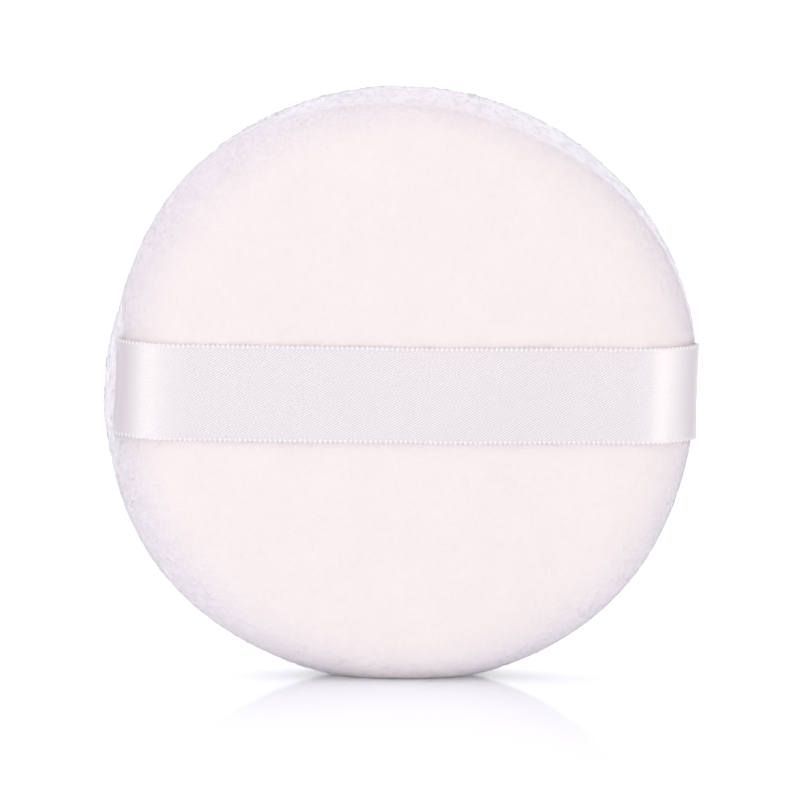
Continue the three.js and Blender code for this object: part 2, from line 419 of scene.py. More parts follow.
def plump_moves():
    """Simulates the welded skin of both sides, from a start a little too small. Returns the uneven
    swell of each side on its grid, which is 0 without the simulation."""
    share, angle = disc_grid(PLUMP_CELLS)
    back, back_normal = side_points(back_section, share, angle, RIBBON_SIDE)
    plush, plush_normal = side_points(plush_section, share, angle, PLUSH_SIDE)
    inner = np.flatnonzero(share < ON_SEAM)
    plush_index = np.arange(len(share))
    plush_index[inner] = len(share) + np.arange(len(inner))
    start = np.concatenate([back, plush[inner]])
    inward = np.concatenate([back_normal, plush_normal[inner]]) * [0, PLUMP_START, 0]
    blown_up = PLUMP_SCALE * (start - inward - CENTRE)
    quads = grid_quads(PLUMP_CELLS + 1, PLUMP_CELLS + 1)
    skin = add_mesh("skin", blown_up, quads, plush_index[quads][:, ::-1])
    plush_held = held_weight(plush, share, PLUSH_SIDE)[inner]
    held = np.concatenate([held_weight(back, share, RIBBON_SIDE), plush_held])
    moved = run_cloth(skin, held) / PLUMP_SCALE + CENTRE - start
    beside_ribbon = under_ribbon(back, FREE_BAND) < 0.5
    return (
        uneven_swell(moved[:len(share)], back_normal, share, beside_ribbon),
        uneven_swell(moved[plush_index], plush_normal, share, share >= 0),
    )


back_swell, plush_swell = plump_moves()

# %% Draw of the ribbon
FADE_BY_SEAM = (0.96, 1.0)


def ribbon_draw(share):
    """How far the back cover is raised along the middle of the ribbon, on average of its halves."""
    middle = back_swell.reshape(PLUMP_CELLS + 1, PLUMP_CELLS + 1)[:, PLUMP_CELLS // 2]
    half = (middle[PLUMP_CELLS // 2:] + middle[PLUMP_CELLS // 2::-1]) / 2
    fade = 1 - ease(share, *FADE_BY_SEAM)
    return fade * np.interp(share, np.linspace(0, 1, len(half)), half)


print("under the ribbon:", np.round(ribbon_draw(np.linspace(0, 1, 6)) / MM, 2), "mm")

# %% [markdown]
# ## Velour
# Velour is a knitted ground with a short cut pile. Pressed flat on the ribbon side it is a warm
# pale pink. Round the rim its colour turns cooler: painted shade, for the cool light that the rim
# gets as it turns away. The plush side is cooler all over, and by the seam its nap lies in strokes.
# So the tint follows the distance from the axis and from the seam. Noise in object space gives
# mottle and grain, and sheen gives the soft bright edge that pile has at a glancing angle.

# %% Node helpers
EASED = "SMOOTHSTEP"


def node(tree, kind, inputs=(), **settings):
    """Adds a shader node. Inputs pair a socket's name or number with a value or with another socket."""
    made = tree.nodes.new("ShaderNode" + kind)
    for key, value in settings.items():
        setattr(made, key, value)
    for key, value in inputs:
        if isinstance(value, bpy.types.NodeSocket):
            tree.links.new(value, made.inputs[key])
        else:
            made.inputs[key].default_value = value
    return made


def number(tree, operation, first, second=0.0):
    """The output of a Math node."""
    return node(tree, "Math", [(0, first), (1, second)], operation=operation).outputs[0]


def mix_colour(tree, share, first, second):
    """The output of a colour Mix node."""
    inputs = [("Factor", share), (6, first), (7, second)]
    return node(tree, "Mix", inputs, data_type="RGBA").outputs[2]


def ramp(tree, value, low, high, ends=(0.0, 1.0), kind="LINEAR"):
    """The output of a Map Range node: it goes from one end to the other as the value goes from low
    to high, and stays level outside."""
    return node(tree, "MapRange", [
        ("Value", value), ("From Min", low), ("From Max", high),
        ("To Min", ends[0]), ("To Max", ends[1]),
    ], interpolation_type=kind).outputs[0]


def noise(tree, place, scale, detail, distortion=0.0):
    """The output of a Noise Texture node."""
    return node(tree, "TexNoise", [
        ("Vector", place), ("Scale", scale), ("Detail", detail), ("Distortion", distortion),
    ]).outputs["Fac"]


def split(tree, vector):
    """The three numbers of a vector."""
    return node(tree, "SeparateXYZ", [(0, vector)]).outputs


def object_place(tree):
    """Where a shaded point is, in the object's own space."""
    return node(tree, "TexCoord").outputs["Object"]


def length_of(tree, vector):
    """The length of a vector."""
    return node(tree, "VectorMath", [(0, vector)], operation="LENGTH").outputs["Value"]


def new_material(name, **constants):
    """A node material with a Principled shader on its output. Constants are set on its sockets."""
    material = bpy.data.materials.new(name)
    material.use_nodes = True
    shader = material.node_tree.nodes["Principled BSDF"]
    for key, value in constants.items():
        shader.inputs[key.replace("_", " ")].default_value = value
    return material, material.node_tree, shader


def paint(tree, shader, colour, height=None, strength=0.0, depth=0.0):
    """Links a colour to a shader and, where one is given, a height as bump."""
    tree.links.new(colour, shader.inputs["Base Color"])
    if height is not None:
        inputs = [("Height", height), ("Strength", strength), ("Distance", depth)]
        bump = node(tree, "Bump", inputs)
        tree.links.new(bump.outputs[0], shader.inputs["Normal"])


def srgb(red, green, blue):
    """A colour given as 0 to 255, as linear values for a shader."""
    value = np.array([red, green, blue]) / 255
    linear = np.where(value <= 0.04045, value / 12.92, ((value + 0.055) / 1.055) ** 2.4)
    return (*linear.tolist(), 1.0)


print("middle grey as linear values:", round(srgb(128, 128, 128)[0], 3))

# %% Velour materials
BACK_FACE = (srgb(249, 238, 236), srgb(252, 242, 240))
# Painted cool shade at the rim of the ribbon side.
BACK_RIM_PAINTED_SHADE = (srgb(245, 237, 240), srgb(251, 243, 246))
PLUSH_FACE = (srgb(245, 237, 240), srgb(253, 246, 248))
# The plush rim's range gives its nap strokes, and its coolness is painted shade.
PLUSH_RIM_STROKES_AND_SHADE = (srgb(236, 230, 238), srgb(255, 254, 255))
RIM_STARTS = 42.5 * MM
RIM_ENDS = 49.5 * MM
RIM_BLEND = 1.6 * MM
RIM_FADE = (3 * MM, 11 * MM)
STREAK_LONG = 1.5 * MM
STREAK_THICK = 0.32 * MM
STREAK_RANGE = (0.28, 0.54)
STREAK_SHARE = 0.8
MOTTLE_SCALE = 110
BACK_GRAIN = 1500
PLUSH_GRAIN = 1300
NAP_RANGE = (0.7, 1.3)
NAP_BUMP = 0.5
NAP_DEPTH = 0.2 * MM


def rim_streaks(tree, x, y, z, radius):
    """Noise drawn out along the rim, where the nap lies in strokes: its coordinates are the way
    round the axis, shortened by the streaks' shape, the distance from the axis and the depth."""
    turn = number(tree, "ARCTAN2", number(tree, "SUBTRACT", z, CENTRE[2]), x)
    way = number(tree, "MULTIPLY", turn, PLUSH_WIDEST * STREAK_THICK / STREAK_LONG)
    drawn = node(tree, "CombineXYZ", [(0, way), (1, radius), (2, y)]).outputs[0]
    return ramp(tree, noise(tree, drawn, 1 / STREAK_THICK, 2, distortion=0.5), *STREAK_RANGE)


def velour_material(name, grain):
    """Pile fabric. The face tint turns to the cool rim tint, a painted shade, between two radii,
    each tint is mottled by slow noise, and fine noise of the given frequency bumps the nap. Past
    the seam the tints are the plush side's, whose rim has strokes and painted shade that fade
    away from the seam."""
    material, tree, shader = new_material(
        name, Roughness=1.0, Specular_IOR_Level=0.1,
        Sheen_Weight=0.5, Sheen_Roughness=0.32, Sheen_Tint=(0.97, 0.95, 0.99, 1.0),
    )
    place = object_place(tree)
    x, y, z = split(tree, place)
    off_axis = node(tree, "Mapping", [
        ("Vector", place), ("Location", (0, 0, -CENTRE[2])), ("Scale", (1, 0, 1)),
    ]).outputs[0]
    radius = length_of(tree, off_axis)
    # Between these radii the painted cool shade of the rim comes in.
    rim = ramp(tree, radius, RIM_STARTS, RIM_ENDS, kind=EASED)
    plush = ramp(tree, y, SEAM_Y - RIM_BLEND, SEAM_Y + RIM_BLEND, kind=EASED)
    by_seam = ramp(tree, y, SEAM_Y + RIM_FADE[1], SEAM_Y + RIM_FADE[0], kind=EASED)
    fine = noise(tree, place, grain, 4)
    nap = ramp(tree, number(tree, "ADD", noise(tree, place, MOTTLE_SCALE, 3), fine), *NAP_RANGE)
    stroke = number(tree, "MULTIPLY", rim_streaks(tree, x, y, z, radius), STREAK_SHARE)
    rim_nap = number(tree, "ADD", number(tree, "MULTIPLY", nap, 1 - STREAK_SHARE), stroke)
    plush_face = mix_colour(tree, nap, *PLUSH_FACE)
    plush_rim_strokes_and_shade = mix_colour(tree, by_seam, plush_face, mix_colour(tree, rim_nap, *PLUSH_RIM_STROKES_AND_SHADE))
    face = mix_colour(tree, plush, mix_colour(tree, nap, *BACK_FACE), plush_face)
    # The rim colour: painted cool shade, with the plush side's nap strokes past the seam.
    edge = mix_colour(tree, plush, mix_colour(tree, nap, *BACK_RIM_PAINTED_SHADE), plush_rim_strokes_and_shade)
    stroked = number(tree, "MULTIPLY", rim, number(tree, "MULTIPLY", plush, by_seam))
    height = number(tree, "ADD", fine, number(tree, "MULTIPLY", stroke, stroked))
    paint(tree, shader, mix_colour(tree, rim, face, edge), height, NAP_BUMP, NAP_DEPTH)
    return material


back_velour = velour_material("back_velour", BACK_GRAIN)
plush_velour = velour_material("plush_velour", PLUSH_GRAIN)
print("velour:", back_velour.name, plush_velour.name)

# %% [markdown]
# ## The two covers
# Each cover is a round of velour with its edge turned in as a hem. A sheet with a thickness modifier
# could stand for it, but would have no hem. So it is a shell: the outside on the folded grid, the
# hem, then the wrong side of the cloth back to the middle, which closes the mesh. The relief of the
# pile goes along the surface's own normal and fades where the fabric dives into the seam.

# %% Carrying the simulated moves to a fine grid
def spline_weights(coarse, fine):
    """A matrix that carries values on a coarse line of points to a fine one: each fine point takes
    its four neighbours with the weights of a cubic B-spline."""
    place = np.linspace(0, coarse - 1, fine)
    left = np.clip(np.floor(place).astype(int), 0, coarse - 2)
    t = place - left
    basis = np.stack([
        (1 - t) ** 3,
        3 * t ** 3 - 6 * t ** 2 + 4,
        1 + 3 * t + 3 * t ** 2 - 3 * t ** 3,
        t ** 3,
    ], -1) / 6
    columns = np.clip(left[:, None] + np.arange(-1, 3), 0, coarse - 1)
    weights = np.zeros((fine, coarse))
    np.add.at(weights, (np.arange(fine)[:, None], columns), basis)
    return weights


def fine_swell(swell, cells):
    """The simulated swell of one side on a finer grid, by the spline along both its directions."""
    weights = spline_weights(PLUMP_CELLS + 1, cells + 1)
    return (weights @ swell.reshape(PLUMP_CELLS + 1, PLUMP_CELLS + 1) @ weights.T).ravel()


print("a line of 5 goes to 9 by weights of", spline_weights(5, 9)[1].round(3))

# %% Covers
COVER_CELLS = 288
COVER_THICKNESS = 1.2 * MM
NAP_RELIEF = ((0.6, 1.7 * MM), (0.5, 4.0 * MM))
LINING_SHARES = np.linspace(0.95, 0.08, 9)
SEAM_INSET = 2.6 * MM
SEAM_ALLOWANCE = 5.0 * MM
HEM_RADIUS = PLUSH_WIDEST - SEAM_INSET - SEAM_ALLOWANCE
HEM_GAP = 0.2 * MM


def edge_order(share, angle):
    """Indices of the points on the disc's edge, in order of angle."""
    edge = np.flatnonzero(share > ON_SEAM)
    return edge[np.argsort(angle[edge] % (2 * np.pi))]


def cover_points(section, facing, swell, relief, seed):
    """Outside of a cover: its section, raised along the normal by the swell and by soft relief of
    two sizes."""
    share, angle = disc_grid(COVER_CELLS)
    flat, normal = side_points(section, share, angle, facing)
    layers = (part * soft_relief(flat, size, seed + k) for k, (part, size) in enumerate(NAP_RELIEF))
    height = fine_swell(swell, COVER_CELLS) + relief * sum(layers)
    height = (1 - ease(share, *FADE_BY_SEAM)) * height
    return share, angle, flat + height[:, None] * normal


def lining_profile(section):
    """Radius and depth of the rings inside a cover: the hem's edge, its wrong side, and then the
    section moved inward by the cloth and the way that it was drawn in. The last ring is the
    middle."""
    radius, depth, out, up = section(np.append(LINING_SHARES, 0.0))
    inward = COVER_THICKNESS + PLUMP_START
    hem_depth = [HEM_GAP, HEM_GAP + COVER_THICKNESS]
    return (
        np.concatenate([[HEM_RADIUS, HEM_RADIUS], radius - inward * out]),
        np.concatenate([hem_depth, depth - inward * up]),
    )


def add_cover(name, section, facing, swell, relief, seed):
    """A closed shell: the outside, the turned-in hem, and rings of lining back to the middle. The
    fold where the hem turns in is shaded sharp."""
    share, angle, points = cover_points(section, facing, swell, relief, seed)
    edge = edge_order(share, angle)
    ring_radius, ring_depth = lining_profile(section)
    rings = len(ring_radius) - 1
    lining = on_axis(*np.broadcast_arrays(
        ring_radius[:, None], angle[edge][None, :], ring_depth[:, None]), facing).reshape(-1, 3)
    whole = settle(np.concatenate([points, lining[: rings * len(edge) + 1]]))

    first = len(points)
    hem = first + np.arange(len(edge))
    last = hem + (rings - 1) * len(edge)
    middle = np.full(len(edge), len(whole) - 1)
    faces = [
        grid_quads(COVER_CELLS + 1, COVER_CELLS + 1),
        np.stack([hem, np.roll(hem, -1), np.roll(edge, -1), edge], -1),
        grid_quads(rings, len(edge), first, wrap=True),
        np.stack([np.roll(last, -1), last, middle], -1),
    ]
    if facing == PLUSH_SIDE:
        faces = [f[:, ::-1] for f in faces]
    cover = add_mesh(name, whole, *faces)
    ends = np.empty(2 * len(cover.data.edges), np.int32)
    cover.data.edges.foreach_get("vertices", ends)
    fold = np.isin(ends.reshape(-1, 2), edge).all(1)
    cover.data.attributes.new("sharp_edge", "BOOLEAN", "EDGE").data.foreach_set("value", fold)
    return cover


back_cover = add_cover(
    "back_velour_cover", back_section, RIBBON_SIDE, back_swell, relief=0.04 * MM, seed=11)
plush_cover = add_cover(
    "plush_velour_cover", plush_section, PLUSH_SIDE, plush_swell, relief=0.09 * MM, seed=21)
for cover, node_name, finish, material in (
    (back_cover, "back_cover", "velour_back", back_velour),
    (plush_cover, "plush_cover", "velour_plush", plush_velour),
):
    cover.data.materials.append(material)
    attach(cover, "puff")
    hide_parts(node_name)

# %% [markdown]
# ## Cut pile
# Relief alone leaves the outline as smooth as plastic. Real velour is fringed by thousands of short
# fibres, which cling together in tufts. Hair could draw them, but it exports as nothing solid, so
# each tuft is a thin closed cone of four triangles. The nap of the ribbon side is brushed so short
# that only its rim shows tufts. The plush side is longer, and lies down along the rim in strokes.

# %% Roots of the tufts
def round_axis(points):
    """Unit directions at points: outward from the puff's axis, and along the rim."""
    local = points - CENTRE
    outward = unit(local * [1, 0, 1])
    return outward, np.cross(outward, [0.0, 1.0, 0.0])


def rim_share(points):
    """0 on the face and 1 on the rim, between the radii where the rim's painted cool shade comes in."""
    return ease(np.hypot(points[:, 0], points[:, 2] - CENTRE[2]), RIM_STARTS, RIM_ENDS)


def tuft_roots(cover, facing, count, face_share, rng):
    """Seeded places on a cover's outside, even by area but thinner on the face by face_share, and
    none under the ribbon. Returns the places and the outward normals there."""
    points = np.empty(3 * len(cover.data.vertices), np.float32)
    cover.data.vertices.foreach_get("co", points)
    quads = grid_quads(COVER_CELLS + 1, COVER_CELLS + 1)
    corner = points.reshape(-1, 3)[quads].astype(float)
    cross = -facing * np.cross(corner[:, 2] - corner[:, 0], corner[:, 3] - corner[:, 1])
    middle = corner.mean(1)
    bare = (np.abs(middle[:, 2] - CENTRE[2]) < RIBBON_WIDTH / 2) & (facing == RIBBON_SIDE)
    density = face_share + (1 - face_share) * rim_share(middle)
    chance = np.where(bare, 0, np.linalg.norm(cross, axis=1) * density)
    pick = rng.choice(len(quads), count, p=chance / chance.sum())
    u, v = rng.random((2, count, 1))
    c = corner[pick]
    root = (c[:, 0] * (1 - u) + c[:, 1] * u) * (1 - v) + (c[:, 3] * (1 - u) + c[:, 2] * u) * v
    return root, unit(cross[pick])


print("rim share at the middle and at the top:", rim_share(np.stack([CENTRE, top])))

# %% Pile of both covers
TUFT_SIDES = 3
TUFT_SPREAD = (0.7, 1.3)
ROOT_DEPTH = 0.08 * MM
MAP_WIDTH = 2.4 * PLUSH_WIDEST
MAP_MIDDLE = (0.5, 0.05)
WANDER_SIZE = 6 * MM
STROKE_SIZE = 9 * MM
STROKE_SCATTER = 0.3
BACK_NAP = dict(
    count=46000, face_share=0.12, face_length=0.06 * MM, rim_length=0.1 * MM,
    width=0.2 * MM, lean=0.3, rim_lean=1.0, shade=0.06,
)
PLUSH_NAP = dict(
    count=46000, face_share=0.6, face_length=0.26 * MM, rim_length=0.3 * MM,
    width=0.1 * MM, lean=0.8, rim_lean=1.3, shade=0.75,
)


def nap_stroke(root, up, nap, seed, rng):
    """Which way the nap lies: wandering slowly over the face by soft relief, and along the rim
    either way, with scatter. It is square to the cloth's normal."""
    rim = rim_share(root)[:, None]
    wander = np.stack([soft_relief(root, WANDER_SIZE, seed + k) for k in range(3)], -1)
    rimward = round_axis(root)[1] * np.sign(soft_relief(root, STROKE_SIZE, seed + 3))[:, None]
    stroke = nap["lean"] * wander * (1 - rim) + nap["rim_lean"] * rimward * rim
    stroke = stroke + STROKE_SCATTER * rng.normal(size=root.shape)
    return stroke - up * (stroke * up).sum(1, keepdims=True)


def add_tufts(name, root, up, stroke, size, nap, rng):
    """Cones: three points round each root and a tip at its size along the up direction and the
    stroke. Their shading normals go from the cloth's own, shade 0, to the cone's, shade 1."""
    count, shade = len(root), nap["shade"]
    first = unit(np.cross(up, rng.normal(size=(count, 3))))
    second = np.cross(up, first)
    turn = rng.uniform(0, 2 * np.pi, (count, 1)) + np.arange(TUFT_SIDES) * 2 * np.pi / TUFT_SIDES
    ring = np.cos(turn)[..., None] * first[:, None] + np.sin(turn)[..., None] * second[:, None]
    base = root[:, None] - ROOT_DEPTH * up[:, None] + nap["width"] / 2 * ring
    tip = root + size[:, None] * (up + stroke)
    tuft = np.concatenate([base, tip[:, None]], 1).reshape(-1, 3)
    tuft[:, 2] = np.maximum(tuft[:, 2], 0)
    cone = np.array([[0, 1, 3], [1, 2, 3], [2, 0, 3], [0, 2, 1]])
    faces = (cone[None] + (TUFT_SIDES + 1) * np.arange(count)[:, None, None]).reshape(-1, 3)
    pile = add_mesh(name, tuft, faces)
    soft = (1 - shade) * up[:, None] + shade * np.concatenate([ring, up[:, None]], 1)
    pile.data.normals_split_custom_set_from_vertices(unit(soft).reshape(-1, 3).tolist())
    flat_map = pile.data.uv_layers.new(name="OFBake")
    place = tuft[faces.ravel()][:, [0, 2]] / MAP_WIDTH + MAP_MIDDLE
    flat_map.data.foreach_set("uv", place.astype(np.float32).ravel())
    return pile


def add_pile(name, cover, facing, nap, seed):
    """The pile of one cover. Its tufts grow from their length on the face to that on the rim."""
    rng = np.random.default_rng(seed)
    root, up = tuft_roots(cover, facing, nap["count"], nap["face_share"], rng)
    grown = nap["face_length"] + (nap["rim_length"] - nap["face_length"]) * rim_share(root)
    size = grown * rng.uniform(*TUFT_SPREAD, len(root))
    stroke = nap_stroke(root, up, nap, seed + 1, rng)
    return add_tufts(name, root, up, stroke, size, nap, rng)


back_pile = add_pile("back_pile", back_cover, RIBBON_SIDE, BACK_NAP, seed=31)
plush_pile = add_pile("plush_pile", plush_cover, PLUSH_SIDE, PLUSH_NAP, seed=41)

# %% Pile in the seam
FILL_SEGMENTS = 720
FILL_STEPS = 9
FILL_SHARE = 0.05
FILL_SUNK = 0.12 * MM
FILL_BACK = 0.4 * MM
FILL_BAND = (0.5, 0.6)
FILL_LEAST = 0.05


def add_seam_pile(name):
    """The pile of both sides, pressed together, fills the groove of the seam. Its section is a
    curve that leaves one side and joins the other with no corner, closed behind. It shrinks to
    nearly nothing where the ribbon goes in."""
    turn = np.linspace(0, 2 * np.pi, FILL_SEGMENTS, endpoint=False)
    corner = on_axis(BACK_WIDEST, turn, 0 * turn, PLUSH_SIDE)
    start = np.full(FILL_SEGMENTS, 1 - FILL_SHARE)
    front, front_normal = side_points(back_section, start, turn, RIBBON_SIDE)
    behind, behind_normal = side_points(plush_section, start, turn, PLUSH_SIDE)
    front = front - FILL_SUNK * front_normal
    behind = behind - FILL_SUNK * behind_normal
    t = np.linspace(0, 1, FILL_STEPS)[:, None, None]
    curve = (1 - t) ** 2 * front + 2 * t * (1 - t) * corner + t ** 2 * behind
    inside = corner[None] - FILL_BACK * round_axis(corner)[0]
    clear = np.maximum(1 - under_ribbon(corner, FILL_BAND), FILL_LEAST)
    section = corner + clear[:, None] * (np.concatenate([curve, inside]) - corner)
    points = settle(section.transpose(1, 0, 2).reshape(-1, 3))
    quads = grid_quads(FILL_SEGMENTS + 1, FILL_STEPS + 1, wrap=True) % len(points)
    return add_mesh(name, points, quads[:, ::-1])


seam_pile = add_seam_pile("seam_pile")
for pile, finish, material in (
    (back_pile, "velour_back", back_velour),
    (plush_pile, "velour_plush", plush_velour),
    (seam_pile, "velour_back", back_velour),
):
    pile.data.materials.append(material)
    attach(pile, "puff")

# %% [markdown]
# ## Satin
# The ribbon is a warp-faced satin. Its long floats make fine diagonal lines, and because the yarns
# run lengthwise its gloss spreads across the ribbon and stays narrow along it. Over the shoulders,
# where the bands of gloss fall, its colour is paler: a painted highlight. Where it turns in to the
# seam its colour is darker: painted shade. Lines and painted light follow the ribbon, so they read
# its own UV map, in metres. A weave this fine is a wave in the shader: as geometry it would need
# millions of faces.

# %% Satin material
TWILL_PITCH = 0.38 * MM
TWILL_ANGLE = math.radians(33)
TWILL_BUMP = 0.35
TWILL_DEPTH = 0.05 * MM
SATIN_LIGHT = srgb(249, 242, 242)
SATIN_DEEP = srgb(220, 212, 214)
SATIN_EDGE = srgb(232, 224, 227)
EDGE_BAND = 0.75 * MM
# Painted highlight: a paler colour over the shoulders, where the bands of gloss fall.
SATIN_PAINTED_HIGHLIGHT = srgb(254, 248, 247)
PAINTED_HIGHLIGHT_SHARE = 0.5
PAINTED_HIGHLIGHT_REACH = (36.0 * MM, 43.0 * MM)
# Painted shade: a darker colour where the ribbon turns in to the seam.
SATIN_PAINTED_SHADE = srgb(203, 192, 198)
PAINTED_SHADE_SHARE = 0.75
PAINTED_SHADE_REACH = (44.0 * MM, 50.0 * MM)


def satin_material(name):
    """Satin: a wave across the diagonal of the weave, in tint and bump. The gloss is stretched
    across the ribbon by turning the anisotropy a quarter from the length. The painted highlight
    and the painted shade each come in over a reach along the ribbon, measured from its middle."""
    material, tree, shader = new_material(
        name, Roughness=0.45, Specular_IOR_Level=1.0, Anisotropic=0.85, Anisotropic_Rotation=0.25,
    )
    place = node(tree, "UVMap", uv_map="Length").outputs[0]
    length, width, _ = split(tree, place)
    way, off_middle = number(tree, "ABSOLUTE", length), number(tree, "ABSOLUTE", width)
    edge = number(tree, "GREATER_THAN", off_middle, RIBBON_WIDTH / 2 - EDGE_BAND)
    # The painted highlight comes in over the shoulders, by the way along the ribbon.
    painted_highlight = ramp(tree, way, *PAINTED_HIGHLIGHT_REACH, (0.0, PAINTED_HIGHLIGHT_SHARE), EASED)
    # The painted shade comes in towards the ends, where the ribbon turns in to the seam.
    end = ramp(tree, way, *PAINTED_SHADE_REACH, (0.0, PAINTED_SHADE_SHARE), EASED)
    across = node(tree, "VectorMath", [
        (0, place),
        (1, (-math.sin(TWILL_ANGLE), math.cos(TWILL_ANGLE), 0)),
    ], operation="DOT_PRODUCT").outputs["Value"]
    wave = number(tree, "SINE", number(tree, "MULTIPLY", across, 2 * math.pi / TWILL_PITCH))
    line = ramp(tree, wave, -1.0, 1.0)
    weave = mix_colour(tree, line, SATIN_DEEP, SATIN_LIGHT)
    drawn = mix_colour(tree, painted_highlight, mix_colour(tree, edge, weave, SATIN_EDGE), SATIN_PAINTED_HIGHLIGHT)
    whole = mix_colour(tree, end, drawn, SATIN_PAINTED_SHADE)
    paint(tree, shader, whole, line, TWILL_BUMP, TWILL_DEPTH)
    tangent = node(tree, "Tangent", direction_type="UV_MAP", uv_map="Length")
    tree.links.new(tangent.outputs[0], shader.inputs["Tangent"])
    return material


satin = satin_material("satin")
print("twill lines per millimetre:", round(MM / TWILL_PITCH, 2))

# %% [markdown]
# ## The ribbon
# A ribbon is a strip of one width carried along a path. A bevelled curve could carry it, but the
# weave needs a map in metres, so the strip is worked out row by row. Its path is the back cover's
# own section with the simulated draw, a hair further out, then straight in between the two seam
# allowances. The strip is closed: face, edges and underside are one sheet.

# %% Ribbon path
RIBBON_LIFT = 0.22 * MM
RIBBON_STEPS = 480
PATH_SAMPLES = 900
TAB_RADIUS = 43.5 * MM


def ribbon_path():
    """Half the ribbon's middle line, from the crown to its end in the seam: the back section moved
    along its normal, down to the seam plane, then straight in. Returned for both halves, evenly
    spaced by length, with the outward normal in the plane of the path."""
    share = np.linspace(0, 1, PATH_SAMPLES)
    radius, depth, out, up = back_section(share)
    raised = RIBBON_LIFT + ribbon_draw(share)
    radius = radius + raised * out
    depth = depth + raised * up
    keep = depth > 0
    radius = np.append(radius[keep], TAB_RADIUS)
    depth = np.append(depth[keep], 0.0)
    length = way_along(radius, depth)
    half = np.linspace(0, length[-1], RIBBON_STEPS // 2)
    x, y = np.interp(half, length, radius), -np.interp(half, length, depth)
    x, y = np.concatenate([-x[:0:-1], x]), np.concatenate([y[:0:-1], y])
    way = np.concatenate([-half[:0:-1], half])
    run, fall = np.gradient(x, way), np.gradient(y, way)
    size = np.hypot(run, fall)
    return way, x, y, fall / size, -run / size


along, *path_lines = ribbon_path()
ribbon_length = along[-1] - along[0]
print("ribbon length", round(ribbon_length / MM, 1), "mm")

# %% Ribbon strip
RIBBON_THICKNESS = 0.3 * MM
RIBBON_COLUMNS = 48


def add_tube(name, way, up, across):
    """A closed tube on the ribbon's path: a ring of offsets, along the path's normal and across
    it, at each way along the path, and a face over each end."""
    x, y, normal_x, normal_y = (np.interp(way, along, line)[:, None] for line in path_lines)
    rings = np.stack(np.broadcast_arrays(x + normal_x * up, y + normal_y * up, across), -1)
    count, sides = rings.shape[:2]
    start = np.arange(sides)[None, :]
    last = start + (count - 1) * sides
    quads = grid_quads(count, sides, wrap=True)
    return add_mesh(name, settle(CENTRE + rings.reshape(-1, 3)), quads, start, last[:, ::-1])


def add_ribbon(name):
    """The strip: its ring goes across on the face and back on the underside. The UV map holds the
    way along and the way across, in metres."""
    across = np.linspace(-0.5, 0.5, RIBBON_COLUMNS) * RIBBON_WIDTH
    across = np.concatenate([across, across[::-1]])
    up = np.repeat([RIBBON_THICKNESS / 2, -RIBBON_THICKNESS / 2], RIBBON_COLUMNS)
    strip = add_tube(name, along, up, across)
    uv = np.stack(np.broadcast_arrays(along[:, None], across), -1).reshape(-1, 2)
    corner = np.empty(len(strip.data.loops), np.int32)
    strip.data.loops.foreach_get("vertex_index", corner)
    layer = strip.data.uv_layers.new(name="Length")
    layer.data.foreach_set("uv", uv[corner].astype(np.float32).ravel())
    return strip


ribbon = add_ribbon("ribbon")

# %% [markdown]
# ## Selvedges
# Each edge of the ribbon is finished by weft yarns that loop back round the last warp yarn. They
# show as a row of small white dashes across the edge. A texture could paint them, but they stand
# proud of the satin. So a flat tube on the ribbon's path swells to an oval once for every loop and
# is thin between.

# %% Selvedge loops
LOOP_PITCH = 0.825 * MM
LOOP_LENGTH = 0.45 * MM
LOOP_HEIGHT = 0.82 * MM
LOOP_INSET = 0.3 * LOOP_HEIGHT
LOOP_RISE = 0.1 * MM
LOOP_THIN = 0.03
LOOP_STEPS = 16
LOOP_SIDES = 8
YARN_TINTS = (srgb(245, 240, 242), srgb(252, 249, 250))
YARN_SCALE = 1500


def add_selvedge(name, side):
    """A tube along one edge of the ribbon. Its section is an oval that grows and shrinks like a
    circle over the length of each loop, and is thin between loops."""
    count = int(ribbon_length / LOOP_PITCH) * LOOP_STEPS + 1
    way = np.linspace(along[0], along[-1], count)
    from_loop = (way / LOOP_PITCH + 0.5) % 1 - 0.5
    circle = 1 - (2 * from_loop * LOOP_PITCH / LOOP_LENGTH) ** 2
    swell = np.sqrt(np.clip(circle, LOOP_THIN, 1))[:, None]
    turn = np.linspace(0, 2 * np.pi, LOOP_SIDES, endpoint=False)
    up = RIBBON_THICKNESS / 3 + LOOP_RISE * swell * np.cos(turn)
    across = side * (RIBBON_WIDTH / 2 - LOOP_INSET) + LOOP_HEIGHT / 2 * swell * np.sin(turn)
    return add_tube(name, way, up, across)


def selvedge_material():
    """White weft yarn: fine streaks across the ribbon, from noise squeezed along it."""
    material, tree, shader = new_material("selvedge_yarn", Roughness=0.6, Specular_IOR_Level=0.3)
    squeezed = node(tree, "Mapping", [
        ("Vector", object_place(tree)), ("Scale", (4, 4, 1)),
    ]).outputs[0]
    paint(tree, shader, mix_colour(tree, noise(tree, squeezed, YARN_SCALE, 2), *YARN_TINTS))
    return material


upper_selvedge = add_selvedge("upper_selvedge", 1)
lower_selvedge = add_selvedge("lower_selvedge", -1)
yarn = selvedge_material()
for piece, material in ((ribbon, satin), (upper_selvedge, yarn), (lower_selvedge, yarn)):
    piece.data.materials.append(material)
    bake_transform(piece)
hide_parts("ribbon_strap", "ribbon_end_left", "ribbon_end_right")

# %% [markdown]
# ## Foam core
# Inside is a disc of soft foam, cut to fill both covers and pinched by the seam allowances. It only
# shows when the puff is taken apart. It could be cut from a block with booleans. A turned profile is
# cleaner: it has the allowances' groove round its middle, and small relief stands for open cells.

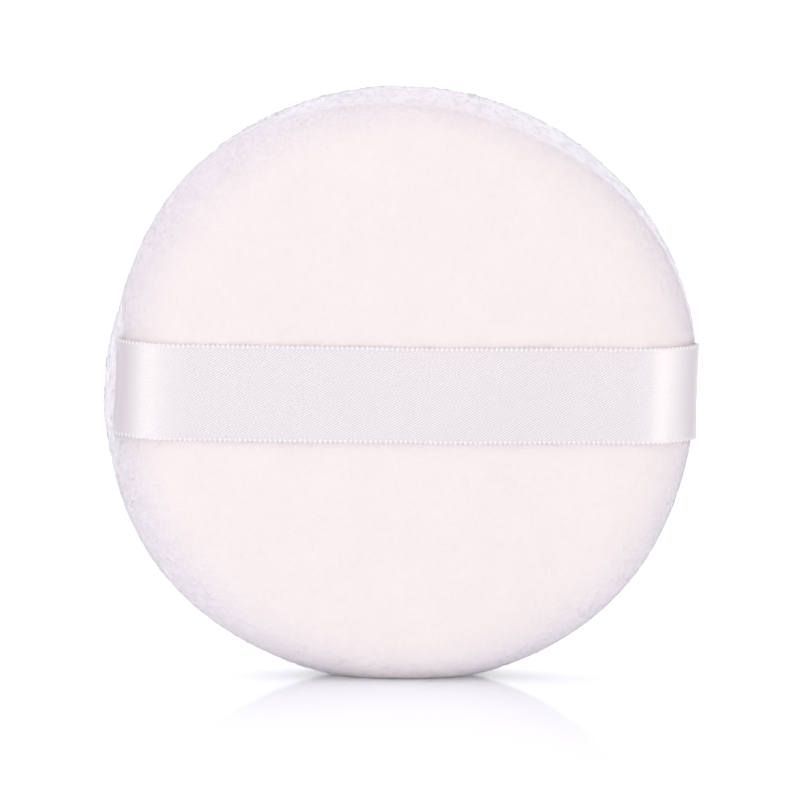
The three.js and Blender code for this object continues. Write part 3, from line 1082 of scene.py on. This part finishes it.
# %% Foam
FOAM_SEGMENTS = 240
FOAM_STEPS = 60
FOAM_SHARES = (0.02, 0.93)
FOAM_GAP = 0.3 * MM
FOAM_CELL = 1.4 * MM
FOAM_ROUGHNESS = np.array([0.04, 0.08, 0.04]) * MM
FOAM_TINTS = (srgb(236, 224, 202), srgb(252, 246, 232))
FOAM_CELL_SCALE = 1300
FOAM_BUMP = 0.6
FOAM_DENT = 0.3 * MM
GROOVE_DEPTH = HEM_GAP + COVER_THICKNESS + FOAM_GAP
GROOVE_FLOOR = 0.3 * GROOVE_DEPTH


def foam_side(section):
    """Radius and depth of half the foam, from the middle of its face to the groove's floor: the
    section moved inward by the cover, then a step in to clear the seam allowance."""
    inward = COVER_THICKNESS + PLUMP_START + FOAM_GAP
    radius, depth, out, up = section(np.linspace(*FOAM_SHARES, FOAM_STEPS))
    radius, depth = radius - inward * out, np.maximum(depth - inward * up, GROOVE_DEPTH)
    groove = HEM_RADIUS - 2 * FOAM_GAP
    return np.append(radius, [groove, groove]), np.append(depth, [GROOVE_DEPTH, GROOVE_FLOOR])


def add_foam(name):
    """Both halves' profile turned round the axis, closed by a point in the middle of each face."""
    back_radius, back_depth = foam_side(back_section)
    plush_radius, plush_depth = foam_side(plush_section)
    radius = np.concatenate([back_radius, plush_radius[::-1]])[:, None]
    depth = np.concatenate([-back_depth, plush_depth[::-1]])[:, None]
    turn = np.linspace(0, 2 * np.pi, FOAM_SEGMENTS, endpoint=False)[None, :]
    rings = on_axis(*np.broadcast_arrays(radius, turn, depth), PLUSH_SIDE).reshape(-1, 3)
    rings += soft_relief(rings, FOAM_CELL, seed=51)[:, None] * FOAM_ROUGHNESS
    poles = CENTRE + np.array([[0, -back_depth[0], 0], [0, plush_depth[0], 0]])
    count, ring = len(rings), np.arange(FOAM_SEGMENTS)
    far = count - FOAM_SEGMENTS + ring
    quads = grid_quads(len(radius), FOAM_SEGMENTS, wrap=True)
    near_cap = np.stack([ring, np.roll(ring, -1), np.full(FOAM_SEGMENTS, count)], -1)
    far_cap = np.stack([np.roll(far, -1), far, np.full(FOAM_SEGMENTS, count + 1)], -1)
    return add_mesh(name, settle(np.concatenate([rings, poles])), quads, near_cap, far_cap)


def foam_material():
    """Cream foam: cells from a Voronoi texture darken and dent the surface."""
    material, tree, shader = new_material("cream_foam", Roughness=0.95, Specular_IOR_Level=0.15)
    cells = node(tree, "TexVoronoi", [
        ("Vector", object_place(tree)), ("Scale", FOAM_CELL_SCALE),
    ]).outputs["Distance"]
    paint(tree, shader, mix_colour(tree, cells, *FOAM_TINTS), cells, FOAM_BUMP, FOAM_DENT)
    return material


foam = add_foam("foam_disc")
foam.data.materials.append(foam_material())
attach(foam, "puff")
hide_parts("foam_core")

# %% [markdown]
# ## Sewing thread
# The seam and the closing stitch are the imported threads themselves, hidden between the covers.
# Their shape is right, so they only get a finish: two plies twisted together, as fine slanting
# bands.

# %% Thread
THREAD_TINTS = (srgb(232, 222, 226), srgb(250, 243, 246))
PLY_SCALE = 900
PLY_BUMP = 0.6
PLY_DEPTH = 0.1 * MM


def thread_material():
    """Twisted thread: slanting bands from a wave in object space, in tint and bump."""
    material, tree, shader = new_material("twisted_thread", Roughness=0.7, Specular_IOR_Level=0.3)
    ply = node(tree, "TexWave", [
        ("Vector", object_place(tree)), ("Scale", PLY_SCALE), ("Distortion", 1.5),
    ], bands_direction="DIAGONAL").outputs["Fac"]
    paint(tree, shader, mix_colour(tree, ply, *THREAD_TINTS), ply, PLY_BUMP, PLY_DEPTH)
    return material


thread = thread_material()
for name in ("seam_thread", "closing_stitch"):
    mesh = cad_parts[name].data
    mesh.materials.clear()
    mesh.materials.append(thread)
    print("thread on", name, len(mesh.polygons), "faces")

# %% [markdown]
# ## Light and ground
# Plain soft studio light: broad lamps before, beside, above and behind the puff and a pale surround,
# at a level where a colour renders about as it is written. Two lamps are seen only in gloss, for
# the bright bands where the ribbon bends, on top of the painted highlight in the satin's colour. A
# weak one on the table stands for the light that the table throws up. The ground is white paper with
# a slight polish, and rays that look past the puff see white.

# %% Lamps
WARM = (1.0, 0.94, 0.90)
SOFT = (1.0, 0.95, 0.97)
COOL = (0.96, 0.95, 1.0)
TABLE_LIGHT = (0.80, 0.95, 1.0)
LAMP_DISTANCE = 0.9
STRIP_DISTANCE = 0.85
STRIP_HEIGHT = 7
STRIP_SIZE = 0.42
TABLE_LAMP_PLACE = Vector((0, -0.109, 0.0005))
PUFF_MIDDLE = Vector(CENTRE.tolist())


def add_lamp(name, place, size, power, colour, hidden_from=()):
    """A round area lamp at a place, facing the puff. It is left out of the named kinds of ray."""
    lamp = bpy.data.lights.new(name, "AREA")
    lamp.shape = "DISK"
    lamp.size = size
    lamp.energy = power
    lamp.color = colour
    made = bpy.data.objects.new(name, lamp)
    made.location = place
    made.rotation_euler = (PUFF_MIDDLE - place).to_track_quat("-Z", "Y").to_euler()
    for ray in hidden_from:
        setattr(made, "visible_" + ray, False)
    bpy.context.scene.collection.objects.link(made)
    return made


def round_puff(azimuth, height, distance):
    """A place seen from the puff at an azimuth, 0 towards the viewer and positive to the right, and
    at a height above the horizon, both in degrees."""
    return PUFF_MIDDLE + distance * heading(math.radians(azimuth), math.radians(height))


for name, azimuth, height, size, power, colour, hidden_from in (
    ("front_lamp", 3, 4, 0.45, 0.80, WARM, ()),
    ("left_lamp", -66, 3, 0.45, 0.40, SOFT, ("glossy",)),
    ("right_lamp", 66, 3, 0.45, 0.19, WARM, ("glossy",)),
    ("top_lamp", -20, 64, 0.6, 1.25, COOL, ()),
    ("back_lamp", 205, 35, 0.8, 1.3, COOL, ("glossy",)),
):
    place = round_puff(azimuth, height, LAMP_DISTANCE)
    add_lamp(name, place, size, power, colour, hidden_from)
for name, azimuth, power in (("left_strip", -61, 1.5), ("right_strip", 50, 3.0)):
    place = round_puff(azimuth, STRIP_HEIGHT, STRIP_DISTANCE)
    add_lamp(name, place, STRIP_SIZE, power, WARM, hidden_from=("diffuse",))
low_lamp = add_lamp(
    "low_lamp", TABLE_LAMP_PLACE, 0.2, 0.016, TABLE_LIGHT, hidden_from=("camera", "glossy"))
low_lamp.data.shape = "SQUARE"
low_lamp.rotation_euler = (math.pi, 0, 0)
print("lamps:", len(bpy.data.lights))

# %% Surround and ground
SURROUND = (0.78, 0.78, 0.812, 1.0)
WHITE = (1.0, 1.0, 1.0, 1.0)
PAPER = (0.95, 0.965, 0.985, 1.0)
GROUND_RADIUS = 3.0
GROUND_SIDES = 96
FAR_REACH, FAR_GLOW = (0.06, 0.4), (0.06, 1.0)
NEAR_REACH, NEAR_GLOW = (0.0, 0.08), (0.07, 0.15)
BEHIND_REACH, BEHIND_GLOW = (-0.01, 0.015), (0.0, 0.4)


def seen_rays(tree):
    """1 for rays that look at the background: from the camera, or by way of gloss or glass."""
    path = node(tree, "LightPath").outputs
    seen = number(tree, "MAXIMUM", path["Is Camera Ray"], path["Is Glossy Ray"])
    return number(tree, "MAXIMUM", seen, path["Is Transmission Ray"])


def add_surround():
    """A pale world that lights the puff, and is white for rays that look at it."""
    world = bpy.data.worlds.new("surround")
    world.use_nodes = True
    sky = world.node_tree
    colour = mix_colour(sky, seen_rays(sky), SURROUND, WHITE)
    sky.links.new(colour, sky.nodes["Background"].inputs["Color"])
    bpy.context.scene.world = world


def add_ground():
    """A flat round of white paper. For rays that look at it, it also glows a little, more with
    distance and behind the puff, so that it stays white where the lamps fall off and keeps the
    shadow and the reflection near."""
    turn = np.linspace(0, 2 * np.pi, GROUND_SIDES, endpoint=False)
    points = GROUND_RADIUS * np.stack([np.cos(turn), np.sin(turn), 0 * turn], -1)
    ground = add_mesh("ground", points, np.arange(GROUND_SIDES)[None, :])
    material, tree, shader = new_material(
        "white_paper", Base_Color=PAPER, Roughness=0.08, Specular_IOR_Level=0.35,
        Emission_Color=WHITE)
    place = object_place(tree)
    away = length_of(tree, place)
    far = ramp(tree, away, *FAR_REACH, FAR_GLOW)
    near = ramp(tree, away, *NEAR_REACH, NEAR_GLOW)
    behind = ramp(tree, split(tree, place)[1], *BEHIND_REACH, BEHIND_GLOW)
    glow = number(tree, "MAXIMUM", near, number(tree, "MAXIMUM", far, behind))
    seen_glow = number(tree, "MULTIPLY", glow, seen_rays(tree))
    tree.links.new(seen_glow, shader.inputs["Emission Strength"])
    ground.data.materials.append(material)


add_surround()
add_ground()
bpy.context.scene.view_settings.view_transform = "Standard"
